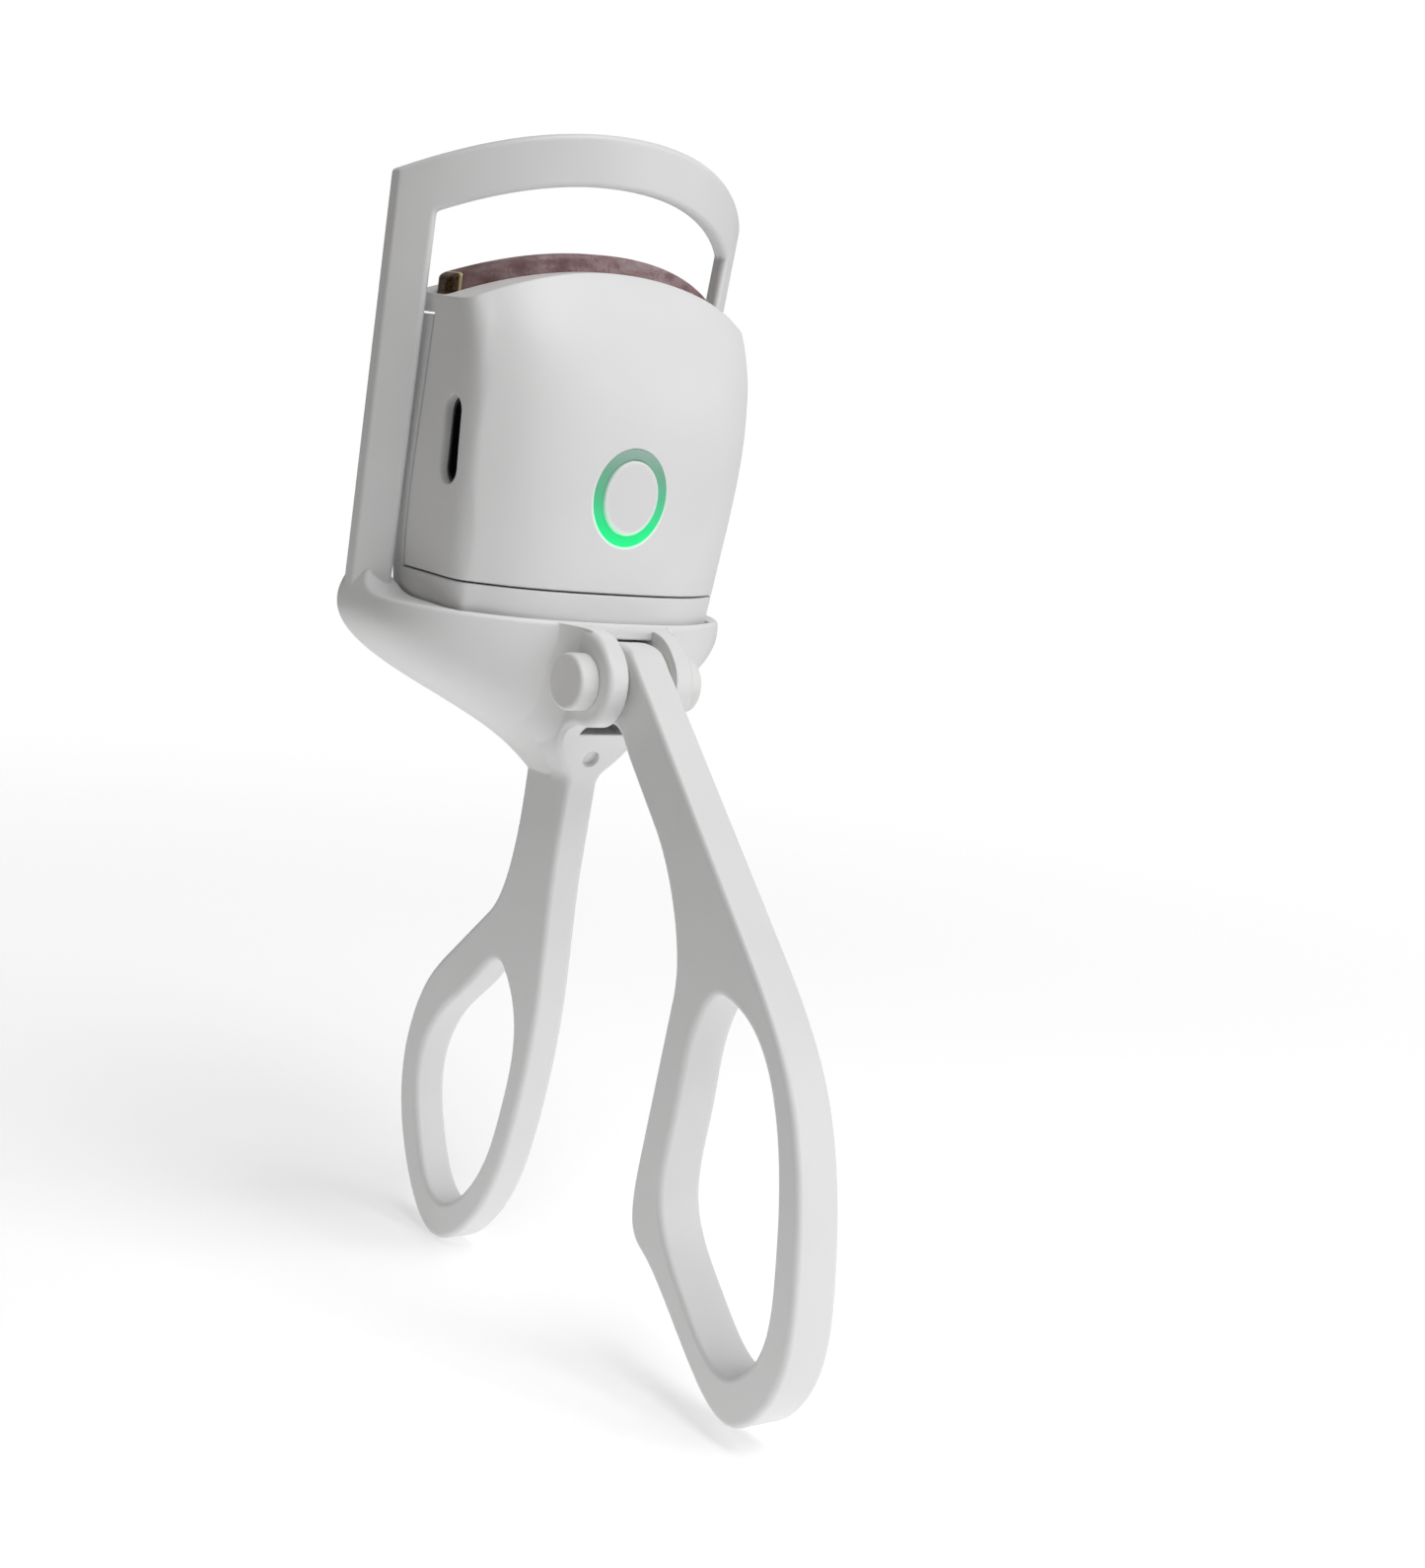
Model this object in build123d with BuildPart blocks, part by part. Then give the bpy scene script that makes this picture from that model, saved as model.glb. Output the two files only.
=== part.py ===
from build123d import *
from math import cos, radians, sin, tan
import os

os.makedirs("parts", exist_ok=True)

# Heated clamp-type eyelash curler, jaws open. Millimetres, +Z up, -Y is the button side.
# Every sub-part is drawn about a datum PIVOT_Z below the pivot pin (pin along X), and the
# whole assembly is moved at the end so that the origin is at the middle of its base.

# --- Upper frame: a thin band on a cylinder that leans forward at the top
LEAN = 6.2                  # lean of the band and of the head's travel, degrees
BAND_R = 29.5               # plan radius of the band's front face
BAND_T = 1.8                # band thickness
BAND_HALF = 22.0            # half width at the top corners
BAND_HALF_LOW = 20.8        # half width where the arms meet the bowl
BAND_FOOT_Y = 25.2          # where the band's chord plane meets the pivot's level
ARM_W = 3.6                 # arm width across X
BAR_TOP = 50.6              # height of the outer corners
BAR_H = 5.3                 # bar height
ARCH_RISE = 6.5             # rise of the bar's middle over its corners
ARCH_SLOPE = 0.70           # slope of the arch at the corners
EDGE = 0.5                  # soft edge on thin mouldings

# --- Bowl below the head: height, half width, front Y, back Y of its plan outlines
BOWL_ROWS = [
    (13.5, 20.8, 2.9, 27.0),
    (7.2, 20.8, 2.9, 27.0),
    (3.4, 20.3, 3.1, 26.9),
    (0.4, 17.2, 3.5, 26.2),
    (-2.6, 12.2, 4.1, 24.6),
    (-5.4, 7.2, 4.9, 21.6),
    (-8.2, 3.6, 5.6, 17.4),
    (-11.5, 1.2, 7.4, 12.8),
]
WELL_ROWS = [
    (3.4, 16.0, 4.4, 25.0),
    (2.0, 15.4, 4.6, 24.7),
    (-0.8, 10.8, 4.6, 23.4),
    (-3.0, 6.6, 5.4, 21.6),
    (-4.6, 4.6, 6.4, 20.2),
]
FULLNESS = (0.71, 0.26)     # a point of the front curve, as shares of half width and flank depth
RIM_Z = 7.2                 # height of the bowl's front rim
SWEEP_TOP = 11.0            # where the rim has swept up into the arms
SWEEP_BACK = 22.0
SWEEP_FRONT = 16.4
SHOULDER_Z = 7.6            # where the slope behind the arms ends on the bowl's back
RIM_EDGE = 0.5              # soft outer edge of the rim

# --- Pivot
PIVOT_Z = 1.5
PIN_R = 1.5
FIT = 0.03                  # radial clearance of a running fit
EAR_R = 4.7
EAR_OUT = 5.47
EAR_EDGE = 0.7
EAR_IN = 3.05
# Hollow curves from the bowl's front into the ears: height, ear half width, bowl front Y,
# then X and Y of the curve's end inside the bowl and the curve's direction there
WEB_ROWS = [
    (8.0, 5.47, 2.9, 10.5, 4.9, (1, 0.25)),
    (3.4, 5.47, 3.1, 10.5, 5.2, (1, 0.25)),
    (0.4, 5.47, 3.5, 10.0, 5.9, (1, 0.4)),
    (-2.6, 5.40, 4.1, 9.0, 8.0, (1, 0.9)),
    (-5.4, 4.80, 4.9, 6.4, 9.6, (1, 2.0)),
    (-8.2, 3.00, 5.6, 3.5, 10.5, (1, 4.0)),
]
CAP_R = 3.0
CAP_T = 2.25
SLOT_TOP = 6.0
SLOT_BOTTOM = -4.6
SLOT_BACK = 8.0
SLOT_LIP = 0.7              # in front of this the slot is open at the top
GATE = (5.1, -7.5)          # Y and Z of the gate mark on the flare
GATE_R = 0.95
GATE_DEPTH = 0.2
WASHER_T = 0.65

# --- Handles
REAR_T = 4.0                # rear handle thickness
HUB_T = 4.3                 # front handle thickness above the hub
RING_T = 5.7                # front handle thickness at its foot
HUB_R = 4.3
SOFT = 0.6                  # soft edge of the handles

# --- Drive: the front handle's short arm lifts the head
TRAVEL = 6.6                # how far the head slides between open and closed
ARM_REST = -10.0            # short arm angle with the jaws open, degrees
ARM_CLOSED = 15.0           # and with the jaws closed
ARM_T = 3.4
ARM_HALF = 1.6              # half height of the short arm
DRIVE_R = 1.0
DRIVE_HALF = 3.5            # half length of the drive pin

# --- Head: height, half width, then Y of front middle, front corner, side, back corner, back
HEAD_ROWS = [
    (2.6, 15.8, 4.6, 8.6, 14.6, 22.6, 24.0),
    (10.2, 16.5, 4.0, 8.0, 14.4, 23.2, 24.2),
    (20.5, 17.3, 3.3, 7.2, 13.4, 22.8, 22.6),
    (28.0, 17.5, 2.9, 6.9, 13.4, 22.2, 20.8),
    (34.0, 17.65, 3.7, 7.8, 14.4, 21.4, 19.0),
    (39.5, 17.7, 6.2, 10.3, 15.6, 20.6, 17.0),
    (45.0, 17.6, 8.8, 12.9, 16.8, 20.0, 15.8),
]
FRONT_CORNER = 0.94         # the corner points lie at these shares of the half width
BACK_CORNER = 0.97
CORNER_TURN = (0.83, 0.56)  # direction of the front curve where it meets the corner
HEAD_WALL = 1.5
HEAD_TOP = 43.2             # crown of the head's arched top
HEAD_HALF = 20.0            # the arch is drawn this far out
HEAD_RISE = 6.0
HEAD_SLOPE = 0.68
SEAM_Z = 10.2               # joint between the front cover and the skirt of the rear shell
SEAM_GAP = 0.22
PARTING_Y = 21.2            # parting plane at the datum level, leaning like the band
PARTING_TOP = 36.8          # the front cover takes the whole top above this height
WELL_GAP = 0.4              # clearance between the skirt and the bowl's well
FLOOR_Z = 4.1               # top of the skirt's floor

# --- Jaw pad and heater, in depths below or above the head's arched top
PAD_W = 3.0
PAD_HALF = 17.35
PAD_PROUD = 1.8
PAD_SUNK = 0.9
PAD_EDGE = 0.5              # soft top edge
CLIP_LENGTH = 1.2           # end clips that close the pad's two ends
PLATE_T = 0.5
FOIL_T = 0.4
HOLDER_W = 4.0
HOLDER_T = 2.3
HEATER_HALF = 14.3

# --- Button and light ring on the head's front
BUTTON_Z = 20.5
RING_RX = 4.5
RING_RZ = 5.15
BUTTON_RX = 3.35
BUTTON_RZ = 3.95
OVAL_SHARE = 0.74           # place of the ovals' 45 degree points; 0.707 is an ellipse
BUTTON_GAP = 0.1
BUTTON_PROUD = 0.3
BUTTON_END = 6.9            # rear end of the button's stem
RING_GAP = 0.05
RING_BACK = 6.5

# --- Electronics
PORT_Y = 11.6
PORT_Z = 24.4
PORT_W = 3.5
PORT_H = 9.2
SHELL_T = 0.3
BOARD_Y = 9.0
BOARD_T = 1.0
BOARD_HALF = 13.4
BOARD_BOTTOM = 16.6
BOARD_TOP = 33.0
SNUG = 0.01                 # radial gap of a press fit or a screw in its pilot hole

# --- Screws: head radius, head height, shank radius
SCREW = (1.3, 0.8, 0.7)
COVER_BOSS = (10.6, 11.4)   # X and Y of the cover's bosses
BRACKET_BOSS = (5.0, 16.0)
BOARD_BOSS = (11.3, 30.6)   # X and Z of the board's bosses

LEAN_TAN = tan(radians(LEAN))
UP = (0, -sin(radians(LEAN)), cos(radians(LEAN)))
REST = radians(ARM_REST)
CLOSED = radians(ARM_CLOSED)
ARM_R = TRAVEL * cos(radians(LEAN)) / (sin(CLOSED) - sin(REST))   # pivot pin to drive pin
DRIVE_Y = ARM_R * cos(REST)
DRIVE_Z = PIVOT_Z + ARM_R * sin(REST)
BAND_PLANE = Plane(origin=(0, BAND_FOOT_Y, 0), x_dir=(1, 0, 0), z_dir=UP)
BAND_CHORD = (BAND_R ** 2 - BAND_HALF ** 2) ** 0.5   # cylinder axis behind the chord plane


def side_plane(x):
    """YZ plane at x: its sketch X is +Y and its sketch Y is +Z."""
    return Plane(origin=(x, 0, 0), x_dir=(0, 1, 0), z_dir=(1, 0, 0))


def front_plane(y):
    """XZ plane at y: its sketch X is +X, its sketch Y is +Z, and it faces -Y."""
    return Plane(origin=(0, y, 0), x_dir=(1, 0, 0), z_dir=(0, -1, 0))


def arch(half, end_z, rise, slope):
    """Arched line across X, from one end to the other."""
    return Spline((-half, end_z), (0, end_z + rise), (half, end_z), tangents=[(1, slope), (1, -slope)])


def arched_block(half, end_z, rise, slope, thickness):
    """Tall block whose top and bottom both follow the same arch; it spans all of Y."""
    with BuildPart() as block:
        with BuildSketch(front_plane(60)):
            with BuildLine():
                arch(half, end_z, rise, slope)
                Line((half, end_z), (half, end_z - thickness))
                arch(half, end_z - thickness, rise, slope)
                Line((-half, end_z - thickness), (-half, end_z))
            make_face()
        extrude(amount=100)
    return block.part


# ---------------------------------------------------------------- frame
def band():
    """The two arms and the top bar, cut from a thin leaning cylinder."""
    with BuildPart() as cage:
        with BuildSketch(BAND_PLANE.offset(4)):
            with Locations((0, BAND_CHORD)):
                Circle(BAND_R)
                Circle(BAND_R - BAND_T, mode=Mode.SUBTRACT)
        extrude(amount=60)
        outer = BAR_TOP
        inner = BAR_TOP - BAR_H
        half_in = BAND_HALF - ARM_W
        low_in = BAND_HALF_LOW - ARM_W
        with BuildSketch(front_plane(40)):
            with BuildLine():
                arch(BAND_HALF, outer, ARCH_RISE, ARCH_SLOPE)
                Line((BAND_HALF, outer), (BAND_HALF_LOW, 6))
                Line((BAND_HALF_LOW, 6), (-BAND_HALF_LOW, 6))
                Line((-BAND_HALF_LOW, 6), (-BAND_HALF, outer))
            make_face()
            with BuildLine():
                ends = inner + 1.7
                Spline((-half_in, ends), (0, inner + ARCH_RISE), (half_in, ends), tangents=[(1, 0.6), (1, -0.6)])
                Line((half_in, ends), (low_in, 4))
                Line((low_in, 4), (-low_in, 4))
                Line((-low_in, 4), (-half_in, ends))
            make_face(mode=Mode.SUBTRACT)
        extrude(amount=70, mode=Mode.INTERSECT)
        split(bisect_by=Plane.XZ.offset(-28), keep=Keep.TOP)
        fillet(cage.edges().filter_by_position(Axis.Z, 7, 60), EDGE)
    return cage.part


def bowl_outline(half, front, back):
    """Plan outline of the bowl: a full front curve, straight flanks and a flat back."""
    flank = front + 0.6 * (back - front)
    corner = min(2.0, 0.4 * half)
    shoulder = (FULLNESS[0] * half, front + FULLNESS[1] * (flank - front))
    Spline((0, front), shoulder, (half, flank), tangents=[(1, 0), (0, 1)])
    Line((half, flank), (half, back - corner))
    RadiusArc((half, back - corner), (half - corner, back), -corner)
    Line((half - corner, back), (0, back))
    mirror(about=Plane.YZ)


def bowl_loft(rows):
    with BuildPart() as shape:
        for z, half, front, back in rows:
            with BuildSketch(Plane.XY.offset(z)):
                with BuildLine():
                    bowl_outline(half, front, back)
                make_face()
        loft()
    return shape.part


def rim_trim():
    """Everything above the rim: level in front, then sweeping up into the arms."""
    with BuildPart() as above:
        with BuildSketch(side_plane(-40)):
            with BuildLine():
                Line((-20, RIM_Z), (SWEEP_FRONT, RIM_Z))
                Spline((SWEEP_FRONT, RIM_Z), (SWEEP_BACK, SWEEP_TOP), tangents=[(1, 0), (0, 1)])
                Line((SWEEP_BACK, SWEEP_TOP), (SWEEP_BACK, 30))
                Line((SWEEP_BACK, 30), (-20, 30))
                Line((-20, 30), (-20, RIM_Z))
            make_face()
        extrude(amount=80)
        with BuildSketch(front_plane(40)):
            low_in = BAND_HALF_LOW - ARM_W
            with Locations((0, RIM_Z + 10)):
                RectangleRounded(2 * low_in, 20, 2.5)
        extrude(amount=30)
        # Behind the arms the bowl's top slopes down to its back.
        with BuildSketch(side_plane(-40)):
            with BuildLine():
                top = (SWEEP_BACK - 1, SWEEP_TOP)
                back = (27.4, SHOULDER_Z)
                Spline(top, back, tangents=[(1, -0.15), (0.3, -1)])
                Polyline(back, (32, SHOULDER_Z), (32, 30), (SWEEP_BACK - 1, 30), top)
            make_face()
        extrude(amount=80)
    return above.part


BAND = band()
BOWL = bowl_loft(BOWL_ROWS)
WELL = bowl_loft(WELL_ROWS)
RIM_TRIM = rim_trim()


def rear_ring_outline():
    """Rear handle: a straight front edge, a sloping shoulder and a long oval ring."""
    front = Line((5.6, -7.0), (6.6, -20.0))
    shoulder = Line((24.2, -33.2), (18.6, -28.0))
    Spline(
        front @ 1, (6.7, -35.0), (8.9, -50.5), (14.3, -62.7), (22.8, -68.0), (30.6, -60.8),
        (33.1, -47.5), (30.0, -39.3), shoulder @ 0,
        tangents=[front % 1, shoulder % 0],
    )
    Spline(shoulder @ 1, (15.2, -21.0), (13.9, -7.0), tangents=[shoulder % 1, (-0.05, 1.0)])
    Line((13.9, -7.0), (5.6, -7.0))


def rear_hole_outline():
    Spline(
        (14.2, -33.4), (10.9, -39.0), (11.6, -49.0), (15.4, -58.8), (22.6, -63.6), (28.0, -57.5),
        (29.4, -48.0), (26.4, -42.4), (20.0, -36.4),
        periodic=True,
    )


def front_ring_outline():
    """Front handle: the round hub, a 45 degree blade and a long oval ring below it."""
    hub_top = (0, PIVOT_Z + HUB_R)
    hub_low = (-0.75, PIVOT_Z - (HUB_R ** 2 - 0.75 ** 2) ** 0.5)
    blade = Line((-3.3, 5.0), (-28.0, -19.2))
    inner = Line((-15.8, -45.5), (-17.7, -27.5))
    root = Line((-10.6, -11.2), (-5.2, -5.8))
    Spline(
        blade @ 1, (-37.7, -30.9), (-42.6, -48.5), (-41.1, -60.9), (-35.8, -65.6), (-28.4, -62.3),
        (-18.9, -54.6), inner @ 0,
        tangents=[blade % 1, inner % 0],
    )
    Spline(inner @ 1, (-15.6, -18.4), root @ 0, tangents=[inner % 1, root % 0])
    hub = ThreePointArc(hub_top, (HUB_R, PIVOT_Z), hub_low)
    Spline(root @ 1, hub_low, tangents=[root % 1, (hub % 1) * -1])
    Spline(hub_top, blade @ 0, tangents=[(-1, 0), blade % 0])


def front_hole_outline():
    Spline(
        (-26.0, -25.0), (-31.6, -27.4), (-36.8, -36.2), (-39.1, -48.5), (-37.8, -58.2), (-34.3, -60.9),
        (-26.6, -56.6), (-20.5, -48.8), (-20.9, -38.0), (-22.4, -28.4),
        periodic=True,
    )


def head_block(inset):
    """The head's walls shrunk by inset on every side, before its top is arched."""
    with BuildPart() as shape:
        for z, half, front, front_corner, side, back_corner, back in HEAD_ROWS:
            half = half - inset
            with BuildSketch(Plane.XY.offset(z)):
                with BuildLine():
                    Spline(
                        (0, front + inset), (FRONT_CORNER * half, front_corner + inset), (half, side),
                        tangents=[(1, 0), CORNER_TURN, (0, 1)],
                    )
                    Spline(
                        (half, side), (BACK_CORNER * half, back_corner - inset), (0, back - inset),
                        tangents=[(0, 1), (-1, 0)],
                    )
                    mirror(about=Plane.YZ)
                make_face()
        loft()
    return shape.part


def ear_profile():
    """Side view of the ears and of the flare under them, run back into the bowl."""
    top = Line((8, RIM_Z - 0.05), (1.0, 6.95))
    nose = (-EAR_R, PIVOT_Z)
    chin = (0.3, PIVOT_Z - EAR_R)
    Spline(top @ 1, (-3.0, 5.3), nose, tangents=[(-1, 0), (0, -1)])
    ThreePointArc(nose, (-0.70 * EAR_R, PIVOT_Z - 0.72 * EAR_R), chin)
    Spline(chin, (3.6, -5.4), (5.4, -9.2), (6.0, -12.0), tangents=[(1, -0.1), (0.1, -1)])
    Line((6.0, -12.0), (9.0, -12.0))
    Line((9.0, -12.0), top @ 0)


def flare_outline():
    """Front view of the ears: parallel sides that close in a bell curve on the handle."""
    side = Line((EAR_OUT, 9), (EAR_OUT, -1.6))
    foot = Line((REAR_T / 2, -10.8), (REAR_T / 2, -13))
    Spline(side @ 1, (4.5, -6.6), (2.9, -8.8), foot @ 0, tangents=[(0, -1), (0, -1)])
    Line(foot @ 1, (0, -13))
    Line(side @ 0, (0, 9))
    mirror(about=Plane.YZ)


def web_outline(side, front, end_x, end_y, end_slope):
    """Plan section through both ears' roots with a hollow curve on each side."""
    start = (side - 0.3, front - 3.0)
    Spline(start, (end_x, end_y), tangents=[(0.12, 1), end_slope])
    Polyline((end_x, end_y), (end_x, 12), (0, 12))
    Line(start, (0, front - 3.0))
    mirror(about=Plane.YZ)


# ---------------------------------------------------------------- frame
with BuildPart() as bowl_body:
    add(BOWL)
    add(RIM_TRIM, mode=Mode.SUBTRACT)
    front_rim = bowl_body.edges().filter_by_position(Axis.Z, RIM_Z - 0.01, RIM_Z + 0.01).sort_by(SortBy.LENGTH)[-1]
    fillet(front_rim, RIM_EDGE)

with BuildPart() as webs:
    for z, side, front, end_x, end_y, end_slope in WEB_ROWS:
        with BuildSketch(Plane.XY.offset(z)):
            with BuildLine():
                web_outline(side, front, end_x, end_y, end_slope)
            make_face()
    loft()
    with BuildSketch(side_plane(-20)):
        with BuildLine():
            ear_profile()
        make_face()
    extrude(amount=40, mode=Mode.INTERSECT)

with BuildPart() as ears:
    with BuildSketch(side_plane(-EAR_OUT)):
        with BuildLine():
            ear_profile()
        make_face()
    extrude(amount=2 * EAR_OUT)
    with BuildSketch(front_plane(20)):
        with BuildLine():
            flare_outline()
        make_face()
    extrude(amount=40, mode=Mode.INTERSECT)
    front_edges = ears.edges().filter_by(Axis.X, reverse=True).filter_by_position(Axis.Y, -5, 5)
    fillet(front_edges.filter_by_position(Axis.Z, -12, 6.8), EAR_EDGE)

with BuildPart() as rear_handle:
    with BuildSketch(side_plane(-REAR_T / 2)):
        with BuildLine():
            rear_ring_outline()
        make_face()
        with BuildLine():
            rear_hole_outline()
        make_face(mode=Mode.SUBTRACT)
    extrude(amount=REAR_T)
    outline_edges = rear_handle.edges().filter_by(Axis.X, reverse=True)
    fillet(outline_edges.filter_by_position(Axis.Z, -70, -7.1), SOFT)

with BuildPart() as frame:
    add(bowl_body.part)
    add(ears.part)
    add(webs.part)
    add(rear_handle.part)
    add(WELL, mode=Mode.SUBTRACT)
    add(head_block(-WELL_GAP), mode=Mode.SUBTRACT)
    add(BAND)
    # Slot that the front handle's hub and short arm turn in, open at the front.
    with BuildSketch(side_plane(-EAR_IN)):
        with BuildLine():
            Polyline(
                (-12, SLOT_BOTTOM), (SLOT_BACK, SLOT_BOTTOM), (SLOT_BACK, SLOT_TOP), (SLOT_LIP, SLOT_TOP),
                (SLOT_LIP, 9), (-12, 9), close=True,
            )
        make_face()
    extrude(amount=2 * EAR_IN, mode=Mode.SUBTRACT)
    with BuildSketch(side_plane(-EAR_OUT - 1)):
        with Locations((0, PIVOT_Z)):
            Circle(PIN_R + SNUG)
    extrude(amount=2 * EAR_OUT + 2, mode=Mode.SUBTRACT)
    # Round seats for the pivot caps.
    for outward in (-1, 1):
        with BuildSketch(Plane(origin=(outward * EAR_OUT, 0, PIVOT_Z), z_dir=(outward, 0, 0))):
            Circle(CAP_R + 0.15)
        extrude(amount=7, mode=Mode.SUBTRACT)
    # Shallow round gate mark on the flare under the slot.
    inward = (0, 0.90, 0.43)
    with BuildSketch(Plane(origin=(0, GATE[0] - inward[1], GATE[1] - inward[2]), z_dir=inward)):
        Circle(GATE_R)
    extrude(amount=1 + GATE_DEPTH, mode=Mode.SUBTRACT)
frame.part.label = "frame"

# ---------------------------------------------------------------- pivot
with BuildPart() as pivot_pin:
    with BuildSketch(side_plane(-EAR_OUT - 1.3)):
        with Locations((0, PIVOT_Z)):
            Circle(PIN_R)
    extrude(amount=2 * (EAR_OUT + 1.3))
    chamfer(pivot_pin.edges(), 0.2)
pivot_pin.part.label = "pivot_pin"


def pivot_cap(outward):
    """White button cap over one end of the pin; outward is -1 on the left, 1 on the right."""
    with BuildPart() as cap:
        with BuildSketch(Plane(origin=(outward * (EAR_OUT + 0.03), 0, PIVOT_Z), z_dir=(outward, 0, 0))):
            Circle(CAP_R)
        extrude(amount=CAP_T)
        fillet(cap.faces().sort_by(Axis.X)[0 if outward < 0 else -1].edges(), 0.45)
        with BuildSketch(Plane(origin=(outward * EAR_OUT, 0, PIVOT_Z), z_dir=(outward, 0, 0))):
            Circle(PIN_R + SNUG)
        extrude(amount=1.35, mode=Mode.SUBTRACT)
    return cap


pivot_cap_left = pivot_cap(-1)
pivot_cap_left.part.label = "pivot_cap_left"
pivot_cap_right = pivot_cap(1)
pivot_cap_right.part.label = "pivot_cap_right"

with BuildPart() as pivot_washers:
    for start in (-EAR_IN + 0.06, EAR_IN - 0.06 - WASHER_T):
        with BuildSketch(side_plane(start)):
            with Locations((0, PIVOT_Z)):
                Circle(3.7)
                Circle(PIN_R + FIT, mode=Mode.SUBTRACT)
        extrude(amount=WASHER_T)
pivot_washers.part.label = "pivot_washers"

# ---------------------------------------------------------------- front handle
with BuildPart() as front_handle:
    with BuildSketch(side_plane(-RING_T / 2)):
        with BuildLine():
            front_ring_outline()
        make_face()
        with BuildLine():
            front_hole_outline()
        make_face(mode=Mode.SUBTRACT)
    extrude(amount=RING_T)
    # The blade thins from the ring's foot up to the hub.
    with BuildSketch(front_plane(-60)):
        with BuildLine():
            Polyline(
                (-RING_T / 2, -70), (RING_T / 2, -70), (HUB_T / 2, 8), (-HUB_T / 2, 8), close=True,
            )
        make_face()
    extrude(amount=-70, mode=Mode.INTERSECT)
    fillet(front_handle.edges().filter_by(Axis.X, reverse=True), SOFT)
    # Short arm that reaches back under the head.
    with BuildSketch(Plane(origin=(-ARM_T / 2, 0, PIVOT_Z), x_dir=(0, cos(REST), sin(REST)), z_dir=(1, 0, 0))):
        with Locations((ARM_R / 2, 0)):
            SlotCenterToCenter(ARM_R, 2 * ARM_HALF)
    extrude(amount=ARM_T)
    with BuildSketch(side_plane(-10)):
        with Locations((0, PIVOT_Z)):
            Circle(PIN_R + FIT)
        with Locations((DRIVE_Y, DRIVE_Z)):
            Circle(DRIVE_R + SNUG)
    extrude(amount=20, mode=Mode.SUBTRACT)
front_handle.part.label = "front_handle"

with BuildPart() as drive_pin:
    with BuildSketch(side_plane(-DRIVE_HALF)):
        with Locations((DRIVE_Y, DRIVE_Z)):
            Circle(DRIVE_R)
    extrude(amount=2 * DRIVE_HALF)
    chamfer(drive_pin.edges(), 0.15)
drive_pin.part.label = "drive_pin"


def oval(rx, rz):
    """Upright oval with slightly square shoulders."""
    across = OVAL_SHARE * rx
    along = OVAL_SHARE * rz
    with BuildLine():
        Spline(
            (rx, 0), (across, along), (0, rz), (-across, along), (-rx, 0), (-across, -along), (0, -rz),
            (across, -along),
            periodic=True,
        )
    make_face()


# ---------------------------------------------------------------- head
def head_loft(inset):
    """Solid outline of the head, shrunk by inset on every side, with its arched top."""
    return head_block(inset) & head_arch(-inset, 60)


def head_arch(above, below):
    """Band across the head between two heights measured from its arched top."""
    return arched_block(HEAD_HALF, HEAD_TOP - HEAD_RISE + above, HEAD_RISE, HEAD_SLOPE, above + below)


def pad_plan(width, half, corner=1.0):
    """Tall block with the jaw's curved plan: width across the band's line, half the chord."""
    centre = BAND_FOOT_Y - LEAN_TAN * HEAD_TOP + BAND_CHORD
    middle = BAND_R - BAND_T / 2
    with BuildPart() as plan:
        with BuildSketch(Plane.XY.offset(20)):
            with Locations((0, centre)):
                Circle(middle + width / 2)
                Circle(middle - width / 2, mode=Mode.SUBTRACT)
            with Locations((0, centre - 30)):
                Rectangle(2 * half, 50, mode=Mode.INTERSECT)
        extrude(amount=40)
        if corner:
            ends = plan.edges().filter_by(Axis.Z).filter_by_position(Axis.X, -half - 1, -half + 1)
            ends += plan.edges().filter_by(Axis.Z).filter_by_position(Axis.X, half - 1, half + 1)
            fillet(ends, corner)
    return plan.part


def behind_parting(gap):
    """Everything behind the leaning parting plane and below its top, grown forward by gap."""
    with BuildPart() as block:
        with BuildSketch(side_plane(-30)):
            with BuildLine():
                top = PARTING_TOP + gap
                Polyline(
                    (PARTING_Y - gap, 0), (PARTING_Y - gap - LEAN_TAN * top, top), (60, top), (60, 0), close=True,
                )
            make_face()
        extrude(amount=60)
    return block.part


def slab(bottom, top):
    """Wide block between two heights."""
    with BuildPart() as block:
        with BuildSketch(Plane.XY.offset(bottom)):
            Rectangle(80, 120)
        extrude(amount=top - bottom)
    return block.part


def cover_region(gap):
    """Where the front cover goes: above the seam and in front of the parting plane."""
    with BuildPart() as region:
        add(slab(SEAM_Z + gap, 60))
        add(behind_parting(gap), mode=Mode.SUBTRACT)
    return region.part


def screws(points, head_bottom, length):
    """Pan-head screws driven upward: one solid at each (x, y)."""
    head_r, head_h, shank_r = SCREW
    with BuildPart() as group:
        with BuildSketch(Plane.XY.offset(head_bottom)):
            with Locations(points):
                Circle(head_r)
        extrude(amount=head_h)
        with BuildSketch(Plane.XY.offset(head_bottom)):
            with Locations(points):
                Circle(shank_r)
        extrude(amount=head_h + length)
    return group


HEAD_OUTER = head_loft(0)
HEAD_INNER = head_loft(HEAD_WALL)
COVER_REGION = cover_region(SEAM_GAP / 2)
COVER_BOSSES = [(-COVER_BOSS[0], COVER_BOSS[1]), (COVER_BOSS[0], COVER_BOSS[1])]
BRACKET_BOSSES = [(-BRACKET_BOSS[0], BRACKET_BOSS[1]), (BRACKET_BOSS[0], BRACKET_BOSS[1])]
BOARD_BOSSES = [(-BOARD_BOSS[0], BOARD_BOSS[1]), (BOARD_BOSS[0], BOARD_BOSS[1])]

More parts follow.
